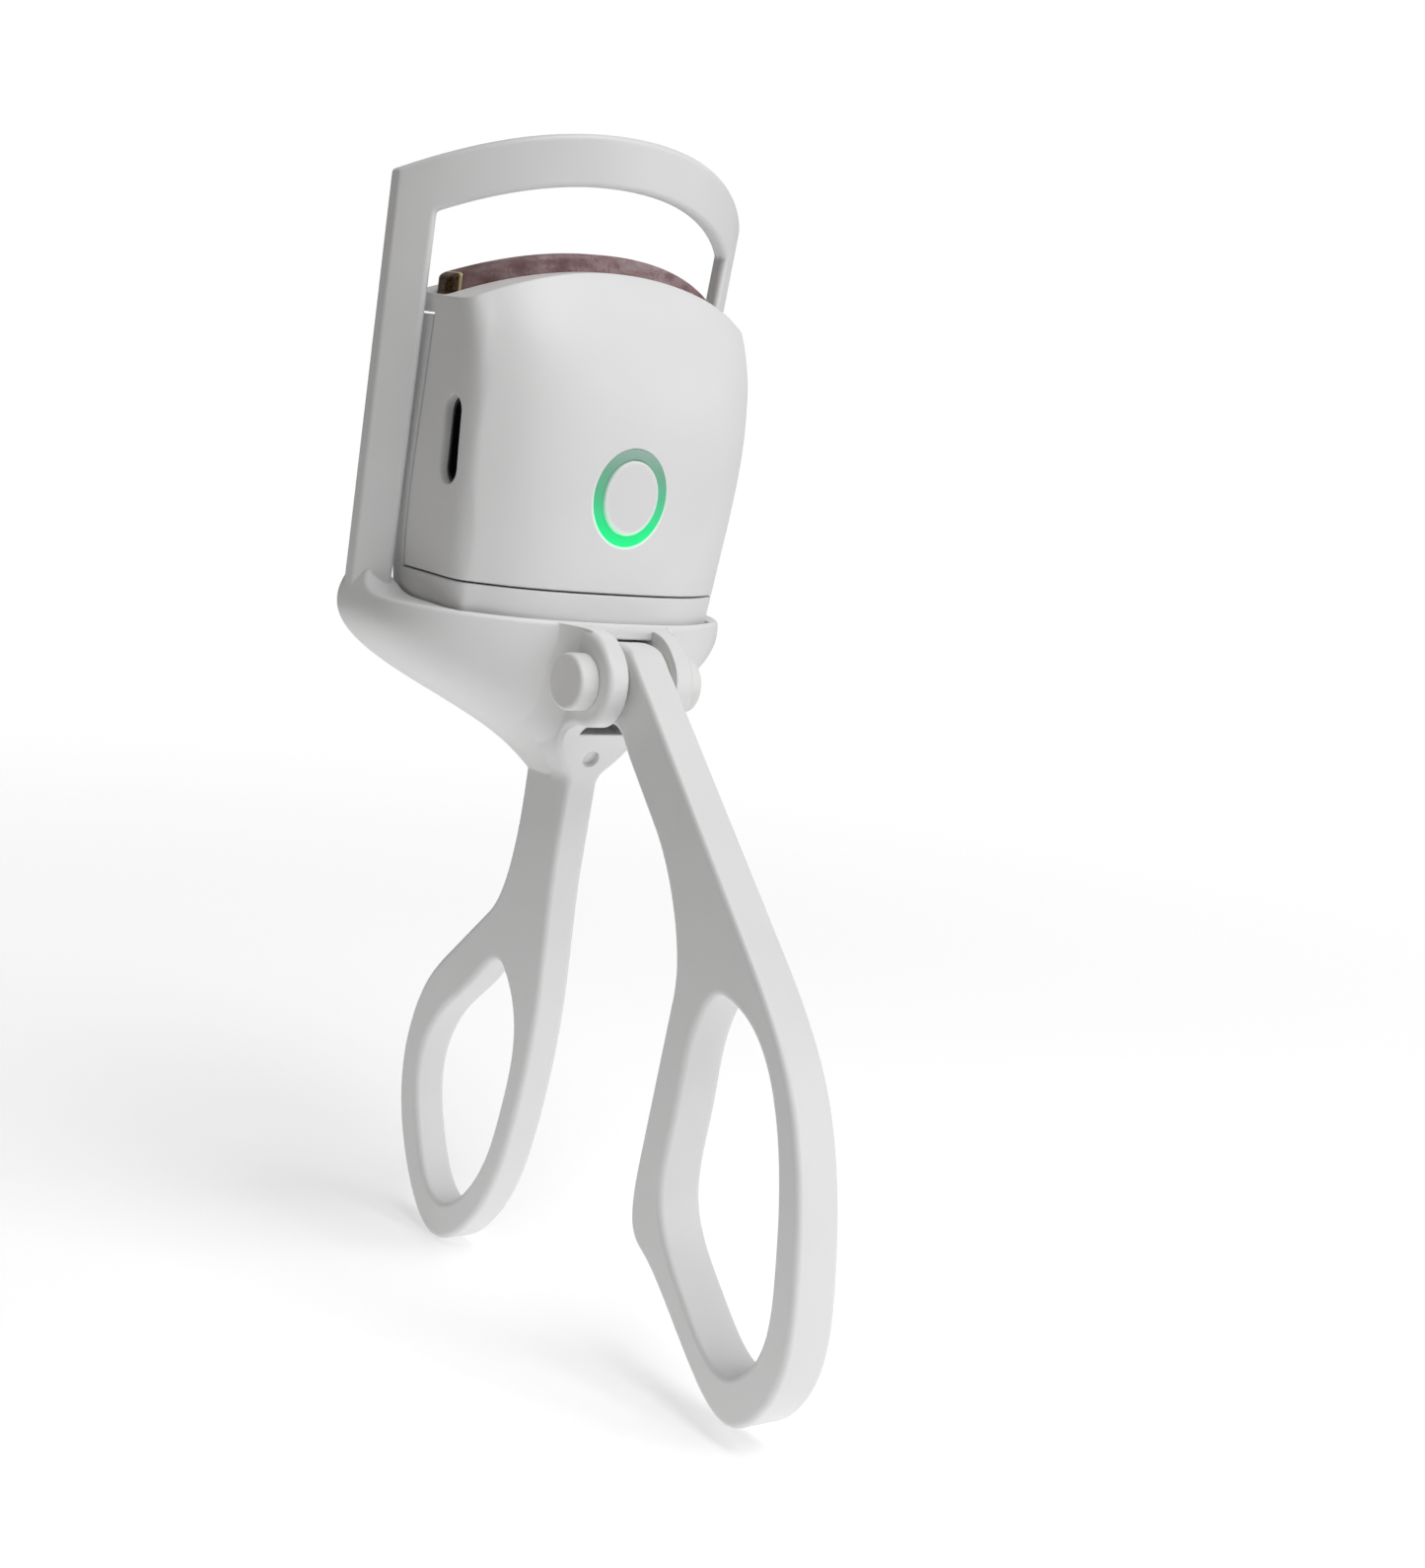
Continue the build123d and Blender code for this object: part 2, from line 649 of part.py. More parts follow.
with BuildPart() as rear_shell:
    add(HEAD_OUTER)
    add(cover_region(-SEAM_GAP / 2), mode=Mode.SUBTRACT)
    cavity = HEAD_INNER & slab(FLOOR_Z, 60)
    add(cavity, mode=Mode.SUBTRACT)
    with BuildSketch(Plane.XY.offset(FLOOR_Z - 0.5)):
        with Locations(BRACKET_BOSSES):
            Circle(1.8)
    extrude(amount=4.2)
    with BuildSketch(Plane.XY.offset(0)):
        with Locations(COVER_BOSSES, BRACKET_BOSSES):
            Circle(SCREW[2] + SNUG)
    extrude(amount=7.4, mode=Mode.SUBTRACT)
    with BuildSketch(Plane.XY.offset(0)):
        with Locations(COVER_BOSSES):
            Circle(SCREW[0] + 0.15)
    extrude(amount=HEAD_ROWS[0][0] + SCREW[1] + 0.1, mode=Mode.SUBTRACT)
rear_shell.part.label = "rear_shell"

with BuildPart() as front_cover:
    add(HEAD_OUTER)
    add(COVER_REGION, mode=Mode.INTERSECT)
    add(HEAD_INNER, mode=Mode.SUBTRACT)
    # Screw bosses hanging from ribs on the front wall, and two short ones for the board.
    with BuildSketch(Plane.XY.offset(FLOOR_Z + 0.1)):
        with Locations(COVER_BOSSES):
            Circle(2.1)
    extrude(amount=11.4)
    for outward in (-1, 1):
        with BuildSketch(Plane.XY.offset(SEAM_Z + 0.8)):
            with Locations((outward * COVER_BOSS[0], 8.6)):
                Rectangle(1.2, 4.4)
        extrude(amount=4.6)
    with BuildSketch(front_plane(BOARD_Y)):
        with Locations(BOARD_BOSSES):
            Circle(1.7)
    extrude(amount=3.4)
    # Pilot holes for the screws.
    with BuildSketch(Plane.XY.offset(FLOOR_Z - 1)):
        with Locations(COVER_BOSSES):
            Circle(SCREW[2] + SNUG)
    extrude(amount=9, mode=Mode.SUBTRACT)
    with BuildSketch(front_plane(BOARD_Y)):
        with Locations(BOARD_BOSSES):
            Circle(SCREW[2] + SNUG)
    extrude(amount=2.6, mode=Mode.SUBTRACT)
    # Oval hole for the light ring and the rounded slot for the charging socket.
    with BuildSketch(front_plane(8)):
        with Locations((0, BUTTON_Z)):
            Ellipse(RING_RX + RING_GAP, RING_RZ + RING_GAP)
    extrude(amount=14, mode=Mode.SUBTRACT)
    with BuildSketch(Plane(origin=(-14, PORT_Y, PORT_Z), x_dir=(0, 0, 1), z_dir=(-1, 0, 0))):
        SlotOverall(PORT_H, PORT_W)
    extrude(amount=6, mode=Mode.SUBTRACT)
    # Curved groove for the pad, and the slot through the top for the heater plate.
    groove = pad_plan(PAD_W + 0.06, PAD_HALF + 0.03) & head_arch(5, PAD_SUNK)
    add(groove, mode=Mode.SUBTRACT)
    slot = pad_plan(PAD_W - 0.4, HEATER_HALF + 0.7, 0) & head_arch(0, 6)
    add(slot, mode=Mode.SUBTRACT)
front_cover.part.label = "front_cover"

# ---------------------------------------------------------------- button and light ring
with BuildPart() as light_ring:
    with BuildSketch(front_plane(RING_BACK)):
        with Locations((0, BUTTON_Z)):
            Ellipse(RING_RX, RING_RZ)
    extrude(amount=12)
    add(HEAD_OUTER, mode=Mode.INTERSECT)
    with BuildSketch(front_plane(RING_BACK)):
        with Locations((0, BUTTON_Z)):
            Ellipse(RING_RX + 0.7, RING_RZ + 0.7)
    extrude(amount=0.7)
    with BuildSketch(front_plane(RING_BACK)):
        with Locations((0, BUTTON_Z)):
            Ellipse(BUTTON_RX + BUTTON_GAP, BUTTON_RZ + BUTTON_GAP)
    extrude(amount=12, mode=Mode.SUBTRACT)
light_ring.part.label = "light_ring"

with BuildPart() as button_cap:
    with BuildSketch(front_plane(RING_BACK - 0.4)):
        with Locations((0, BUTTON_Z)):
            Ellipse(BUTTON_RX, BUTTON_RZ)
    extrude(amount=12)
    add(HEAD_OUTER.moved(Location((0, -BUTTON_PROUD, 0))), mode=Mode.INTERSECT)
    fillet(button_cap.faces().sort_by(Axis.Y)[0].edges(), 0.2)
    with BuildSketch(front_plane(BUTTON_END)):
        with Locations((0, BUTTON_Z)):
            Circle(1.0)
    extrude(amount=1.0)
button_cap.part.label = "button_cap"

# ---------------------------------------------------------------- jaw pad and heater
with BuildPart() as pad_blank:
    add(pad_plan(PAD_W, PAD_HALF) & head_arch(PAD_PROUD, PAD_SUNK))
    fillet(pad_blank.faces().sort_by(Axis.Z)[-1].edges(), PAD_EDGE)

with BuildPart() as silicone_pad:
    add(pad_blank.part)
    with BuildSketch(Plane.XY.offset(20)):
        Rectangle(2 * (PAD_HALF - CLIP_LENGTH), 120)
    extrude(amount=40, mode=Mode.INTERSECT)
silicone_pad.part.label = "silicone_pad"

with BuildPart() as pad_end_clips:
    add(pad_blank.part)
    with BuildSketch(Plane.XY.offset(20)):
        Rectangle(2 * (PAD_HALF - CLIP_LENGTH + 0.02), 120)
    extrude(amount=40, mode=Mode.SUBTRACT)
pad_end_clips.part.label = "pad_end_clips"

with BuildPart() as heater_plate:
    plate = pad_plan(PAD_W - 0.6, HEATER_HALF + 0.5, 0.6) & head_arch(-PAD_SUNK - 0.02, PAD_SUNK + PLATE_T)
    add(plate)
heater_plate.part.label = "heater_plate"

with BuildPart() as heating_element:
    top = PAD_SUNK + PLATE_T + 0.02
    foil = pad_plan(PAD_W - 1.0, HEATER_HALF, 0.6) & head_arch(-top, top + FOIL_T)
    add(foil)
heating_element.part.label = "heating_element"

with BuildPart() as heater_holder:
    top = PAD_SUNK + PLATE_T + FOIL_T + 0.05
    holder = pad_plan(HOLDER_W, HEATER_HALF, 0.8) & head_arch(-top, top + HOLDER_T)
    add(holder)
heater_holder.part.label = "heater_holder"

PAD_MIDDLE = BAND_FOOT_Y - LEAN_TAN * HEAD_TOP + BAND_CHORD - BAND_R + BAND_T / 2
HOLDER_BOTTOM = HEAD_TOP - PAD_SUNK - PLATE_T - FOIL_T - HOLDER_T - 0.05

with BuildPart() as thermistor:
    with BuildSketch(Plane.XY.offset(HOLDER_BOTTOM - 1.3)):
        with Locations((0, PAD_MIDDLE)):
            RectangleRounded(2.0, 1.2, 0.4)
    extrude(amount=1.2)
thermistor.part.label = "thermistor"

# ---------------------------------------------------------------- electronics
with BuildPart() as circuit_board:
    with BuildSketch(front_plane(BOARD_Y + BOARD_T)):
        with Locations((0, (BOARD_BOTTOM + BOARD_TOP) / 2)):
            RectangleRounded(2 * BOARD_HALF, BOARD_TOP - BOARD_BOTTOM, 1.2)
        with Locations(BOARD_BOSSES):
            Circle(SCREW[2] + 0.1, mode=Mode.SUBTRACT)
    extrude(amount=BOARD_T)
circuit_board.part.label = "circuit_board"

with BuildPart() as board_screws:
    head_r, head_h, shank_r = SCREW
    with BuildSketch(front_plane(BOARD_Y + BOARD_T + head_h)):
        with Locations(BOARD_BOSSES):
            Circle(head_r)
    extrude(amount=head_h)
    with BuildSketch(front_plane(BOARD_Y + BOARD_T)):
        with Locations(BOARD_BOSSES):
            Circle(shank_r)
    extrude(amount=BOARD_T + 2.4)
board_screws.part.label = "board_screws"

with BuildPart() as tact_switch:
    with BuildSketch(front_plane(BOARD_Y)):
        with Locations((0, BUTTON_Z)):
            RectangleRounded(4.4, 4.4, 0.3)
    extrude(amount=1.0)
    with BuildSketch(front_plane(BOARD_Y - 1.0)):
        with Locations((0, BUTTON_Z)):
            Circle(1.2)
    extrude(amount=0.65)
tact_switch.part.label = "tact_switch"

with BuildPart() as status_leds:
    with BuildSketch(front_plane(BOARD_Y)):
        with Locations((-4.1, BUTTON_Z), (4.1, BUTTON_Z)):
            Rectangle(0.8, 1.6)
        with Locations((-1.9, BUTTON_Z - 3.6), (1.9, BUTTON_Z - 3.6)):
            Rectangle(1.6, 0.8)
    extrude(amount=0.6)
status_leds.part.label = "status_leds"

PORT_PLANE = Plane(origin=(-9.6, PORT_Y, PORT_Z), x_dir=(0, 0, 1), z_dir=(-1, 0, 0))

with BuildPart() as usb_c_shell:
    with BuildSketch(PORT_PLANE):
        SlotOverall(PORT_H - 0.3, PORT_W - 0.3)
    extrude(amount=6.9)
    with BuildSketch(PORT_PLANE.offset(0.8)):
        SlotOverall(PORT_H - 0.3 - 2 * SHELL_T, PORT_W - 0.3 - 2 * SHELL_T)
    extrude(amount=8, mode=Mode.SUBTRACT)
usb_c_shell.part.label = "usb_c_shell"

with BuildPart() as usb_c_tongue:
    with BuildSketch(PORT_PLANE.offset(0.8)):
        RectangleRounded(6.6, 0.7, 0.2)
    extrude(amount=4.9)
usb_c_tongue.part.label = "usb_c_tongue"

with BuildPart() as battery:
    with BuildSketch(Plane.XY.offset(9.2)):
        with Locations((0, 16.2)):
            RectangleRounded(20.0, 4.6, 1.4)
    extrude(amount=18)
    fillet(battery.faces().filter_by(Axis.Z).edges(), 0.4)
battery.part.label = "battery"


def wire(route, bend):
    """Insulated lead along a route of straight runs joined by tangent arcs."""
    with BuildPart() as lead:
        with BuildLine() as path:
            FilletPolyline(*route, radius=bend)
        start = path.line @ 0
        with BuildSketch(Plane(origin=start, z_dir=path.line % 0)):
            Circle(0.4)
        sweep(path=path.line)
    return lead.part


with BuildPart() as heater_leads:
    for x in (-3, 3):
        top = (x, PAD_MIDDLE, HOLDER_BOTTOM - 0.5)
        add(wire([top, (x, PAD_MIDDLE, 31.0), (x, BOARD_Y + BOARD_T + 0.05, 31.0)], 1.2))
heater_leads.part.label = "heater_leads"

with BuildPart() as battery_leads:
    for x in (-1.2, 1.2):
        top = (x, 16.2, 27.25)
        add(wire([top, (x, 16.2, 29.0), (x, BOARD_Y + BOARD_T + 0.05, 29.0)], 1.2))
battery_leads.part.label = "battery_leads"

# ---------------------------------------------------------------- drive bracket and screws
BRACKET_TOP = HEAD_ROWS[0][0]
BRACKET_T = 1.4

with BuildPart() as drive_bracket:
    with BuildSketch(Plane.XY.offset(BRACKET_TOP - BRACKET_T)):
        with Locations((0, 16.8)):
            RectangleRounded(13.2, 7.6, 1.2)
        with Locations(BRACKET_BOSSES):
            Circle(SCREW[2] + 0.1, mode=Mode.SUBTRACT)
    extrude(amount=BRACKET_T)
    for start in (-3.2, 2.0):
        with BuildSketch(side_plane(start)):
            with BuildLine():
                Polyline(
                    (13.0, BRACKET_TOP - 0.5), (12.9, -2.2), (13.9, -3.3), (17.1, -3.3), (18.1, -2.2),
                    (18.3, BRACKET_TOP - 0.5), close=True,
                )
            make_face()
        extrude(amount=1.2)
    # Slots that let the drive pin slide a little as its arm swings.
    with BuildSketch(side_plane(-5)):
        with Locations((DRIVE_Y + 0.3, DRIVE_Z)):
            SlotCenterToCenter(0.84, 2 * (DRIVE_R + 0.05))
    extrude(amount=10, mode=Mode.SUBTRACT)
drive_bracket.part.label = "drive_bracket"

bracket_screws = screws(BRACKET_BOSSES, BRACKET_TOP - BRACKET_T - SCREW[1], 5.5)
bracket_screws.part.label = "bracket_screws"
cover_screws = screws(COVER_BOSSES, BRACKET_TOP + 0.05, 8.5)
cover_screws.part.label = "cover_screws"


PIECES = (
    frame, pivot_pin, pivot_cap_left, pivot_cap_right, pivot_washers, front_handle, drive_pin,
    rear_shell, front_cover, light_ring, button_cap, silicone_pad, pad_end_clips, heater_plate,
    heating_element, heater_holder, thermistor, circuit_board, board_screws, tact_switch, status_leds,
    usb_c_shell, usb_c_tongue, battery, heater_leads, battery_leads, drive_bracket, bracket_screws,
    cover_screws,
)

# The origin goes to the middle of the whole assembly's base.
BOXES = [piece.part.bounding_box() for piece in PIECES]
SHIFT_Y = -(min(box.min.Y for box in BOXES) + max(box.max.Y for box in BOXES)) / 2
LIFT_Z = -min(box.min.Z for box in BOXES)
print("shift_y", SHIFT_Y, "lift_z", LIFT_Z, "arm", ARM_R, "drive", DRIVE_Y, DRIVE_Z)

for piece in PIECES:
    placed = piece.part.moved(Location((0, SHIFT_Y, LIFT_Z)))
    placed.label = piece.part.label
    export_step(placed, f"parts/{placed.label}.step")
    print(placed.label, round(placed.volume, 1), len(placed.solids()), placed.is_valid)
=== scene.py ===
import math

import bmesh
import bpy
from mathutils import Matrix, Vector


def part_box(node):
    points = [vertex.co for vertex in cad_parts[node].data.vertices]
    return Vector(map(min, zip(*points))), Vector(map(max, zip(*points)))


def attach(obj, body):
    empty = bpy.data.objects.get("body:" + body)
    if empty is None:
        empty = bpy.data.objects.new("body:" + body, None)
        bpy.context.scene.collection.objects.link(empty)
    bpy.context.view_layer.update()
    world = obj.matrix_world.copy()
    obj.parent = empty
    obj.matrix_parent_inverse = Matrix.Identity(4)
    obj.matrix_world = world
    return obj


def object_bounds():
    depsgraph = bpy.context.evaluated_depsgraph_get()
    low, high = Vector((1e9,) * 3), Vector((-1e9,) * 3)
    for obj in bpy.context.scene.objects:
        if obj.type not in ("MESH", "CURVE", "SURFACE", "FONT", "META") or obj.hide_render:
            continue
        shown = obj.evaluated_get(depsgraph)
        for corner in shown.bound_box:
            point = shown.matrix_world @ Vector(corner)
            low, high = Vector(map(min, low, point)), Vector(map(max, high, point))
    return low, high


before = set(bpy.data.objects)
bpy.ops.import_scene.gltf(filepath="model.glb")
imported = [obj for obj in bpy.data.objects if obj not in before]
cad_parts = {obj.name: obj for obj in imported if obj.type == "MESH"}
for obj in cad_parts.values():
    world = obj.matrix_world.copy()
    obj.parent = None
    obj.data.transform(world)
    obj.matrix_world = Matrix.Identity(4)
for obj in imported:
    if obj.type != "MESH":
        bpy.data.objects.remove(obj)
cad_low, cad_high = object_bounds()

MM = 0.001

# Camera: direction it looks from, roll, distance to the aim point and lens
AZIMUTH = math.radians(-37.93)
ELEVATION = math.radians(9.86)
ROLL = math.radians(7.43)
DISTANCE = 0.2516
AIM = Vector((0.0073, -0.0026, 0.0603))
LENS = 55.1

# Studio
WORLD_FILL = 0.30
DIM_SIDE = (-0.95, -0.05, -0.20)    # direction of the studio's dim side
DIM_COLOUR = (0.24, 0.21, 0.185)
LAMP_DISTANCE = 0.8
LAMP_SIZE = 0.6
FLOOR_R = 0.36
FLOOR_FADE_START = 0.10     # radius where the floor begins to fade out
FLOOR_DROP = 0.0002         # keeps the floor just clear of the object's lowest face
FLOOR_LIFT = 0.34           # keeps the floor near white under the soft light


# ---------------------------------------------------------------- camera, floor and light
def look_matrix(place, target, roll=0.0):
    """World matrix of a camera or lamp at place that looks at target."""
    back = (place - target).normalized()
    right = Vector((0, 0, 1)).cross(back).normalized()
    up = back.cross(right)
    rolled_right = math.cos(roll) * right + math.sin(roll) * up
    rolled_up = -math.sin(roll) * right + math.cos(roll) * up
    turn = Matrix((rolled_right, rolled_up, back)).transposed()
    return Matrix.Translation(place) @ turn.to_4x4()


def add_camera():
    camera = bpy.data.cameras.new("camera")
    camera.lens = LENS
    camera.clip_start = 0.01
    back = Vector((
        math.sin(AZIMUTH) * math.cos(ELEVATION),
        -math.cos(AZIMUTH) * math.cos(ELEVATION),
        math.sin(ELEVATION),
    ))
    holder = bpy.data.objects.new("camera", camera)
    bpy.context.scene.collection.objects.link(holder)
    holder.matrix_world = look_matrix(AIM + DISTANCE * back, AIM, ROLL)
    bpy.context.scene.camera = holder


def add_area_light(name, direction, power):
    lamp = bpy.data.lights.new(name, "AREA")
    lamp.shape = "DISK"
    lamp.size = LAMP_SIZE
    lamp.energy = power
    holder = bpy.data.objects.new(name, lamp)
    bpy.context.scene.collection.objects.link(holder)
    centre = (cad_low + cad_high) / 2
    holder.matrix_world = look_matrix(centre + LAMP_DISTANCE * Vector(direction).normalized(), centre)


def add_world():
    """Even white studio: bright all round, dimmer and warmer on the camera's left."""
    world = bpy.data.worlds.new("studio")
    world.use_nodes = True
    tree = world.node_tree
    tree.nodes.clear()
    output = tree.nodes.new("ShaderNodeOutputWorld")
    mix = tree.nodes.new("ShaderNodeMixShader")
    path = tree.nodes.new("ShaderNodeLightPath")
    fill = tree.nodes.new("ShaderNodeBackground")
    fill.inputs["Strength"].default_value = WORLD_FILL
    seen = tree.nodes.new("ShaderNodeBackground")
    seen.inputs["Color"].default_value = (1, 1, 1, 1)
    place = tree.nodes.new("ShaderNodeTexCoord")
    toward = tree.nodes.new("ShaderNodeVectorMath")
    toward.operation = "DOT_PRODUCT"
    toward.inputs[1].default_value = DIM_SIDE
    ramp = tree.nodes.new("ShaderNodeValToRGB")
    ramp.color_ramp.elements[0].position = 0.15
    ramp.color_ramp.elements[0].color = (1.0, 1.0, 1.0, 1)
    ramp.color_ramp.elements[1].position = 0.85
    ramp.color_ramp.elements[1].color = (*DIM_COLOUR, 1)
    tree.links.new(place.outputs["Generated"], toward.inputs[0])
    tree.links.new(toward.outputs["Value"], ramp.inputs["Fac"])
    tree.links.new(ramp.outputs["Color"], fill.inputs["Color"])
    tree.links.new(path.outputs["Is Camera Ray"], mix.inputs[0])
    tree.links.new(fill.outputs[0], mix.inputs[1])
    tree.links.new(seen.outputs[0], mix.inputs[2])
    tree.links.new(mix.outputs[0], output.inputs["Surface"])
    bpy.context.scene.world = world


def add_floor():
    """Plain pale floor that fades into the white studio at its rim."""
    mesh = bpy.data.meshes.new("floor")
    maker = bmesh.new()
    bmesh.ops.create_circle(maker, cap_ends=True, radius=FLOOR_R, segments=128)
    maker.to_mesh(mesh)
    maker.free()
    floor = bpy.data.objects.new("floor", mesh)
    bpy.context.scene.collection.objects.link(floor)
    floor.location.z = -FLOOR_DROP
    material = bpy.data.materials.new("floor")
    material.use_nodes = True
    tree = material.node_tree
    shader = tree.nodes["Principled BSDF"]
    shader.inputs["Base Color"].default_value = (0.93, 0.93, 0.93, 1)
    shader.inputs["Roughness"].default_value = 0.9
    shader.inputs["Specular IOR Level"].default_value = 0.1
    shader.inputs["Emission Color"].default_value = (1, 1, 1, 1)
    shader.inputs["Emission Strength"].default_value = FLOOR_LIFT
    place = tree.nodes.new("ShaderNodeTexCoord")
    length = tree.nodes.new("ShaderNodeVectorMath")
    length.operation = "LENGTH"
    fade = tree.nodes.new("ShaderNodeMapRange")
    fade.interpolation_type = "SMOOTHSTEP"
    fade.inputs["From Min"].default_value = FLOOR_FADE_START
    fade.inputs["From Max"].default_value = FLOOR_R
    fade.inputs["To Min"].default_value = 1.0
    fade.inputs["To Max"].default_value = 0.0
    tree.links.new(place.outputs["Object"], length.inputs[0])
    tree.links.new(length.outputs["Value"], fade.inputs["Value"])
    tree.links.new(fade.outputs["Result"], shader.inputs["Alpha"])
    mesh.materials.append(material)


# ---------------------------------------------------------------- material building blocks
class Paint:
    """Small helper round one node material; every coordinate is the object's own, in metres."""

    def __init__(self, name, colour, roughness, metallic=0.0, specular=0.5):
        self.material = bpy.data.materials.new(name)
        self.material.use_nodes = True
        self.tree = self.material.node_tree
        self.shader = self.tree.nodes["Principled BSDF"]
        self.shader.inputs["Base Color"].default_value = (*colour, 1)
        self.shader.inputs["Roughness"].default_value = roughness
        self.shader.inputs["Metallic"].default_value = metallic
        self.shader.inputs["Specular IOR Level"].default_value = specular
        self.place = self.tree.nodes.new("ShaderNodeTexCoord").outputs["Object"]

    def node(self, kind, **settings):
        made = self.tree.nodes.new(kind)
        for key, value in settings.items():
            setattr(made, key, value)
        return made

    def link(self, source, target):
        self.tree.links.new(source, target)

    def noise(self, size, detail=3.0, stretch=(1, 1, 1), roughness=0.55):
        """Noise whose features are about size metres across."""
        mapping = self.node("ShaderNodeMapping")
        mapping.inputs["Scale"].default_value = stretch
        self.link(self.place, mapping.inputs["Vector"])
        noise = self.node("ShaderNodeTexNoise")
        noise.inputs["Scale"].default_value = 1 / size
        noise.inputs["Detail"].default_value = detail
        noise.inputs["Roughness"].default_value = roughness
        self.link(mapping.outputs["Vector"], noise.inputs["Vector"])
        return noise.outputs["Fac"]

    def ramp(self, source, stops):
        """Colour ramp; stops are (position, colour)."""
        ramp = self.node("ShaderNodeValToRGB")
        points = ramp.color_ramp.elements
        while len(points) < len(stops):
            points.new(0.5)
        for point, (where, colour) in zip(points, stops):
            point.position = where
            point.color = (*colour, 1)
        self.link(source, ramp.inputs["Fac"])
        return ramp.outputs["Color"]

    def span(self, source, low, high, start=0.0, end=1.0):
        """Smooth step of source from low..high to start..end."""
        span = self.node("ShaderNodeMapRange", interpolation_type="SMOOTHSTEP")
        span.inputs["From Min"].default_value = low
        span.inputs["From Max"].default_value = high
        span.inputs["To Min"].default_value = start
        span.inputs["To Max"].default_value = end
        self.link(source, span.inputs["Value"])
        return span.outputs["Result"]

    def maths(self, operation, first, second):
        """One Math node; first and second are numbers or sockets."""
        node = self.node("ShaderNodeMath", operation=operation)
        for socket, value in zip(node.inputs, (first, second)):
            if isinstance(value, (int, float)):
                socket.default_value = value
            else:
                self.link(value, socket)
        return node.outputs["Value"]

    def axis(self, name):
        parts = self.node("ShaderNodeSeparateXYZ")
        self.link(self.place, parts.inputs["Vector"])
        return parts.outputs[name]

    def mix(self, factor, first, second):
        """Colour mix; first and second are colours or sockets."""
        node = self.node("ShaderNodeMix", data_type="RGBA")
        self.link(factor, node.inputs["Factor"])
        colour_a, colour_b, mixed = node.inputs[6], node.inputs[7], node.outputs[2]
        for socket, value in zip((colour_a, colour_b), (first, second)):
            if isinstance(value, tuple):
                socket.default_value = (*value, 1)
            else:
                self.link(value, socket)
        return mixed

    def surface(self, bumps, edge=0.0):
        """Relief: a list of (height socket, depth in metres) over softly rounded edges."""
        normal = None
        if edge:
            bevel = self.node("ShaderNodeBevel", samples=6)
            bevel.inputs["Radius"].default_value = edge
            normal = bevel.outputs["Normal"]
        for height, depth in bumps:
            bump = self.node("ShaderNodeBump")
            bump.inputs["Distance"].default_value = depth
            self.link(height, bump.inputs["Height"])
            if normal is not None:
                self.link(normal, bump.inputs["Normal"])
            normal = bump.outputs["Normal"]
        self.link(normal, self.shader.inputs["Normal"])


def satin_plastic(name, colour, roughness=0.40, edge=0.25 * MM):
    """Fine spark-eroded satin finish with the faint unevenness of a moulding."""
    paint = Paint(name, colour, roughness)
    broad = paint.noise(14 * MM, 2)
    grain = paint.noise(0.16 * MM, 3)
    speck = paint.noise(0.9 * MM, 4)
    darker = tuple(0.965 * c for c in colour)
    paint.link(paint.ramp(broad, [(0.3, darker), (0.7, colour)]), paint.shader.inputs["Base Color"])
    broad_rough = paint.span(broad, 0.3, 0.7, roughness - 0.03, roughness + 0.03)
    speck_rough = paint.span(speck, 0.35, 0.65, -0.015, 0.015)
    paint.link(paint.maths("ADD", broad_rough, speck_rough), paint.shader.inputs["Roughness"])
    paint.surface([(grain, 0.004 * MM), (broad, 0.03 * MM)], edge)
    return paint


def dress(node, material):
    """Give a CAD node one finished material."""
    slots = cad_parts[node].data.materials
    slots.clear()
    slots.append(material)


# ---------------------------------------------------------------- object's materials
WHITE = (0.80, 0.80, 0.80)
MINT = (0.25, 1.0, 0.55)
FLANGE = 0.7 * MM           # how far the light ring's hidden flange stands out
GLOW_FULL = 3.2 * MM        # depth behind the cover's front to which the halo is at full strength
GLOW_END = 4.0 * MM         # and the depth where it ends


def ring_measure(paint):
    """Distance from the light ring's outer oval, in ring radii: 0 on it, negative inside."""
    low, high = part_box("light_ring")
    centre = (low + high) / 2
    half_x = (high.x - low.x) / 2 - FLANGE
    half_z = (high.z - low.z) / 2 - FLANGE
    across = paint.maths("DIVIDE", paint.maths("SUBTRACT", paint.axis("X"), centre.x), half_x)
    along = paint.maths("DIVIDE", paint.maths("SUBTRACT", paint.axis("Z"), centre.z), half_z)
    across_squared = paint.maths("MULTIPLY", across, across)
    along_squared = paint.maths("MULTIPLY", along, along)
    square = paint.maths("ADD", across_squared, along_squared)
    return paint.maths("SUBTRACT", paint.maths("SQRT", square, 0.0), 1.0), along


def glow(paint, reach_in, reach_out, strength):
    """Thin mint halo where the lit ring shines on its neighbour, strongest at the bottom."""
    distance, along = ring_measure(paint)
    inner = paint.span(distance, *reach_in)
    outer = paint.span(distance, *reach_out, 1.0, 0.0)
    near = paint.maths("MULTIPLY", inner, outer)
    low = paint.span(along, -0.9, 0.9, 1.0, 0.15)
    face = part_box("front_cover")[0].y
    front = paint.span(paint.axis("Y"), face + GLOW_FULL, face + GLOW_END, 1.0, 0.0)
    amount = paint.maths("MULTIPLY", paint.maths("MULTIPLY", near, low), front)
    paint.shader.inputs["Emission Color"].default_value = (*MINT, 1)
    paint.link(paint.maths("MULTIPLY", amount, strength), paint.shader.inputs["Emission Strength"])


def cover_material():
    paint = satin_plastic("cover_satin", WHITE, 0.42, 0.35 * MM)
    glow(paint, (-0.05, -0.01), (0.005, 0.075), 0.55)
    return paint.material


def button_material():
    paint = satin_plastic("button_satin", (0.78, 0.78, 0.78), 0.44, 0.2 * MM)
    glow(paint, (-0.36, -0.22), (-0.18, -0.17), 0.35)
    return paint.material


